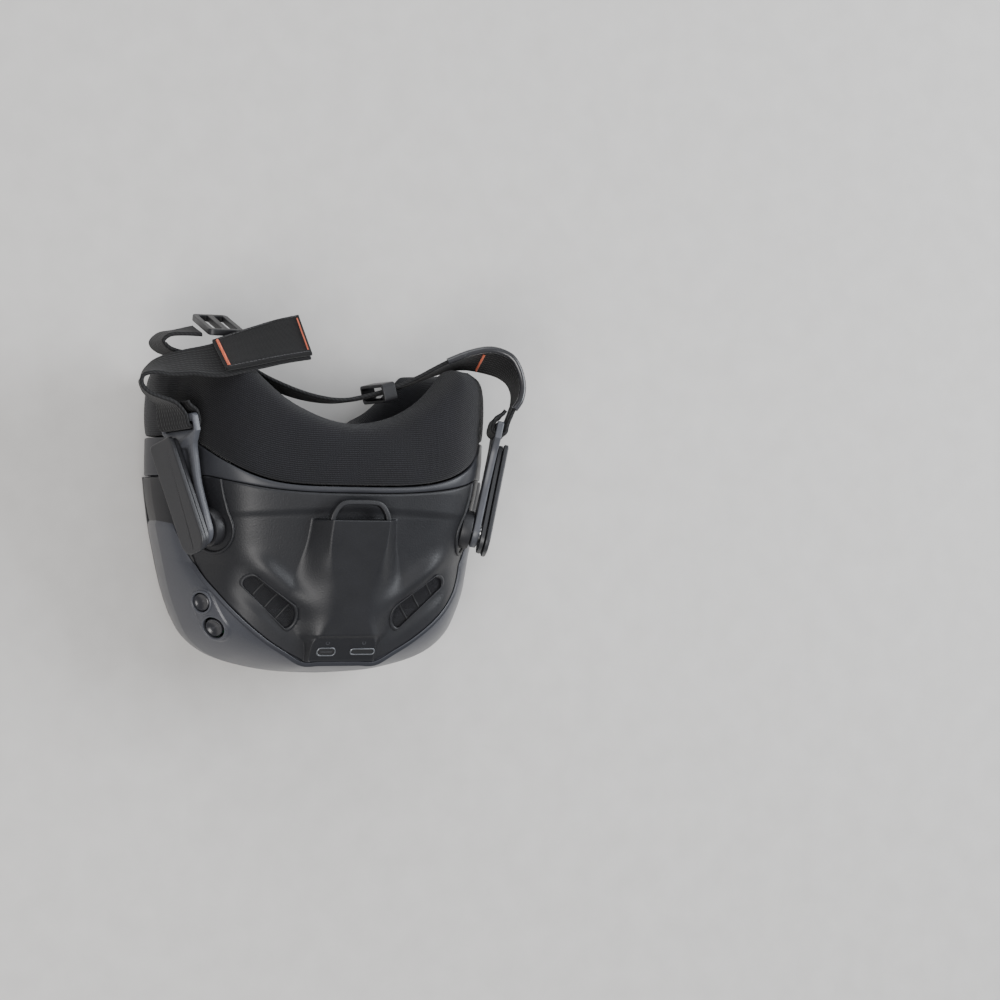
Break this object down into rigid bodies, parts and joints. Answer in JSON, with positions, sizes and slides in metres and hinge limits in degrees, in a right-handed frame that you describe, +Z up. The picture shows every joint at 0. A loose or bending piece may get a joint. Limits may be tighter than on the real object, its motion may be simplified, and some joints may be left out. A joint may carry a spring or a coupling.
{
  "type": "fpv goggles",
  "caption": "Box-type FPV goggles with a satin visor, raised top platform, vents, folding antenna paddles, thick knit face foam and a webbing headband.",
  "frame": {"origin": "centre of the flat that the bottom shell rests on", "axes": "+Z up through the top of the goggles, -Y out through the visor, +Y towards the wearer's face, -X the wearer's right"},
  "size_m": [0.2048, 0.1788, 0.1053],
  "materials": {
    "shell_satin": "satin moulded",
    "shell_matte": "fine grained",
    "black_plastic": "fine texture",
    "frame_grey": "smooth moulded",
    "knit_foam": "ribbed knit over foam",
    "webbing": "woven elastic webbing",
    "orange_thread": "stitched bartack",
    "steel": "bright",
    "aluminium": "anodised",
    "circuit_board": "solder mask",
    "lens_glass": "polished",
    "display_glass": "dark glass",
    "cable_jacket": "smooth jacket"
  },
  "bodies": {
    "headset": {"front_shell": "shell_satin", "top_panel": "shell_matte", "bottom_shell": "black_plastic", "face_frame": "frame_grey", "foam_carrier": "black_plastic", "foam_padding": "knit_foam", "nose_bridge": "black_plastic", "lens_plate": "black_plastic", "lens_left": "lens_glass", "lens_right": "lens_glass", "lens_barrel_left": "black_plastic", "lens_barrel_right": "black_plastic", "proximity_sensor": "display_glass", "display_panel": "display_glass", "chassis_plate": "aluminium", "main_board": "circuit_board", "board_screw_1": "steel", "board_screw_2": "steel", "board_screw_3": "steel", "board_screw_4": "steel", "heat_sink": "aluminium", "fan_housing": "black_plastic", "usb_c_port": "steel", "microsd_slot": "black_plastic", "vent_grille_left": "black_plastic", "vent_grille_right": "black_plastic", "strap_loop": "black_plastic", "button_board": "circuit_board", "pivot_boss_left": "black_plastic", "pivot_boss_right": "black_plastic", "pivot_pin_left": "steel", "pivot_pin_right": "steel", "strap_fold_band": "webbing", "strap_rear_band": "webbing", "strap_tab": "webbing", "bartack_fold": "orange_thread", "bartack_tab": "orange_thread", "bartack_rear": "orange_thread", "power_cable": "cable_jacket", "strap_ring": "black_plastic", "band_keeper": "black_plastic"},
    "antenna_left": {"antenna_cover_left": "shell_matte", "antenna_inner_left": "black_plastic"},
    "antenna_right": {"antenna_cover_right": "shell_matte", "antenna_inner_right": "black_plastic"},
    "arm_left": {"strap_arm_left": "frame_grey", "strap_end_left": "webbing"},
    "arm_right": {"strap_arm_right": "frame_grey", "strap_end_right": "webbing"},
    "back_button": {"back_button": "black_plastic"},
    "five_way_gimbal": {"five_way_gimbal": "black_plastic"},
    "five_way_stem": {"five_way_stem": "steel"},
    "five_way_cap": {"five_way_cap": "black_plastic"},
    "fan_rotor": {"fan_rotor": "black_plastic"}
  },
  "joints": [
    {"name": "antenna_left_fold", "type": "hinge", "parent": "headset", "child": "antenna_left", "pos_m": [0.0767, 0.0135, 0.076], "axis": [0.9285, -0.2058, 0.309], "range_deg": [0, 90]},
    {"name": "strap_arm_left_swing", "type": "hinge", "parent": "headset", "child": "arm_left", "pos_m": [0.0767, 0.0135, 0.076], "axis": [0.9285, -0.2058, 0.309], "range_deg": [-10, 14]},
    {"name": "antenna_right_fold", "type": "hinge", "parent": "headset", "child": "antenna_right", "pos_m": [-0.0767, 0.0135, 0.076], "axis": [0.9285, 0.2058, -0.309], "range_deg": [0, 90]},
    {"name": "strap_arm_right_swing", "type": "hinge", "parent": "headset", "child": "arm_right", "pos_m": [-0.0767, 0.0135, 0.076], "axis": [0.9285, 0.2058, -0.309], "range_deg": [-10, 14]},
    {"name": "back_button_press", "type": "slide", "parent": "headset", "child": "back_button", "axis": [0.7607, 0.2202, -0.6106], "range_m": [0, 0.0008], "stiffness_N_per_m": 600},
    {"name": "five_way_tilt_side", "type": "hinge", "parent": "headset", "child": "five_way_gimbal", "pos_m": [-0.05678, -0.03107, 0.0597], "axis": [-0.5255, 0.8508, 0], "range_deg": [-5, 5], "stiffness_Nm_per_rad": 0.06},
    {"name": "five_way_tilt_front", "type": "hinge", "parent": "five_way_gimbal", "child": "five_way_stem", "pos_m": [-0.05678, -0.03107, 0.0597], "axis": [0.5108, 0.3155, 0.7997], "range_deg": [-5, 5], "stiffness_Nm_per_rad": 0.06},
    {"name": "five_way_press", "type": "slide", "parent": "five_way_stem", "child": "five_way_cap", "axis": [0.6804, 0.4203, -0.6004], "range_m": [0, 0.0006], "stiffness_N_per_m": 700},
    {"name": "fan_spin", "type": "hinge", "parent": "headset", "child": "fan_rotor", "pos_m": [0.021, 0, 0.046], "axis": [0, 1, 0], "continuous": true}
  ]
}
